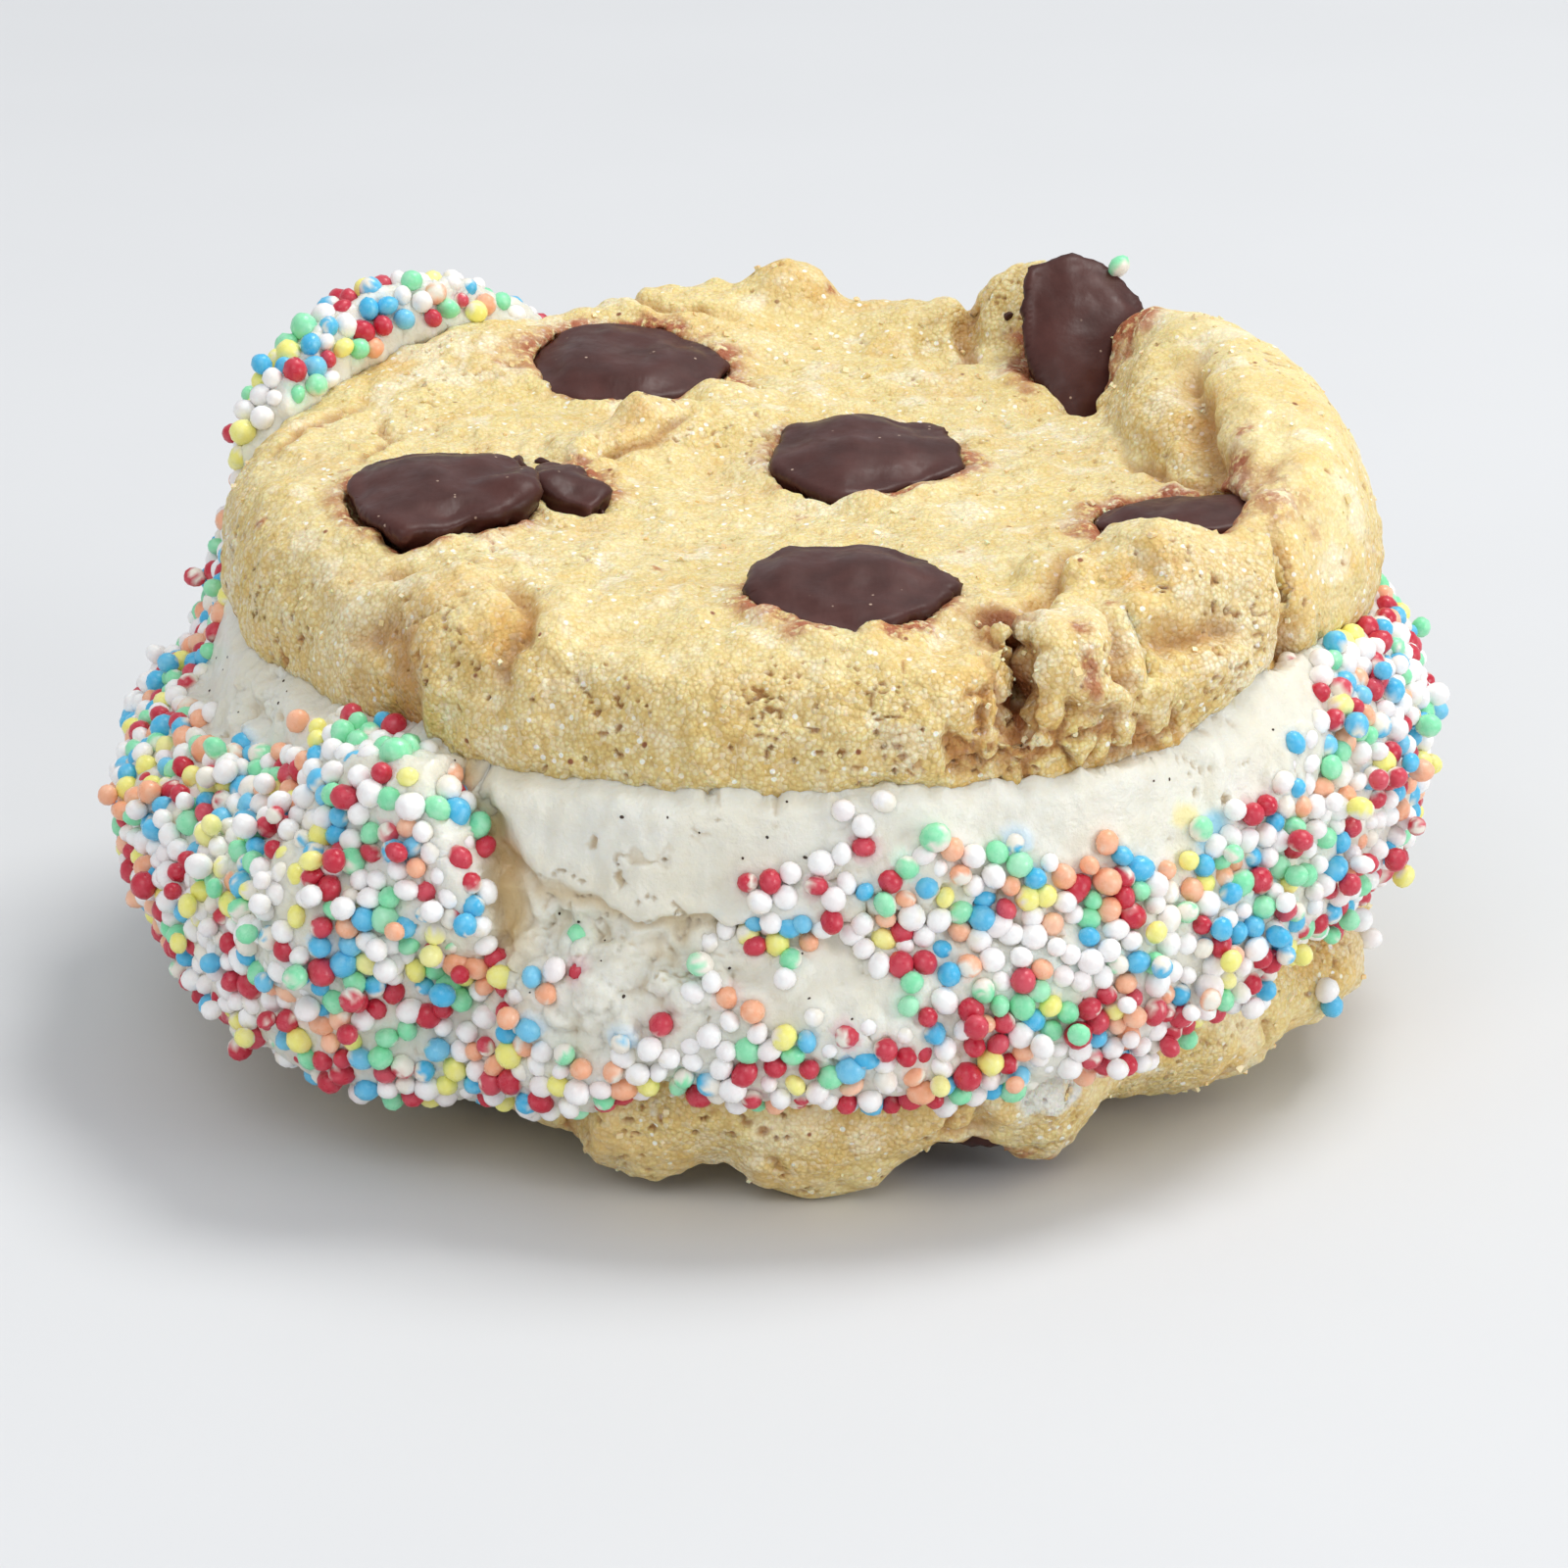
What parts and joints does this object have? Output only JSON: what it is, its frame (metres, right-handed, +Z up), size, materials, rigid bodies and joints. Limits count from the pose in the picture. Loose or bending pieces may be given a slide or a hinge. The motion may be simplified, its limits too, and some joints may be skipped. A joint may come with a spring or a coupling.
{
  "type": "cookie ice cream sandwich",
  "caption": "Vanilla ice cream pressed between two round chocolate chunk cookies, its side rolled in small coloured sugar balls.",
  "frame": {"origin": "under the middle of the whole, on the surface it rests on", "axes": "+Z up through the stack, +X to the right and +Y to the back as the sandwich is shown"},
  "size_m": [0.0922, 0.0888, 0.0471],
  "materials": {
    "cookie": "rough baked dough with sugar grains",
    "ice_cream": "soft, moist, slightly translucent",
    "chocolate": "dark, satin"
  },
  "bodies": {
    "root": {"cookie_lower": "cookie", "cookie_upper": "cookie", "ice_cream": "ice_cream", "chunk_back_left": "chocolate", "chunk_left": "chocolate", "chunk_left_shard": "chocolate", "chunk_middle": "chocolate", "chunk_front": "chocolate", "chunk_right": "chocolate", "chunk_back_lobe": "chocolate", "chunk_below_front": "chocolate", "chunk_below_left": "chocolate", "chunk_below_back": "chocolate"}
  },
  "joints": []
}
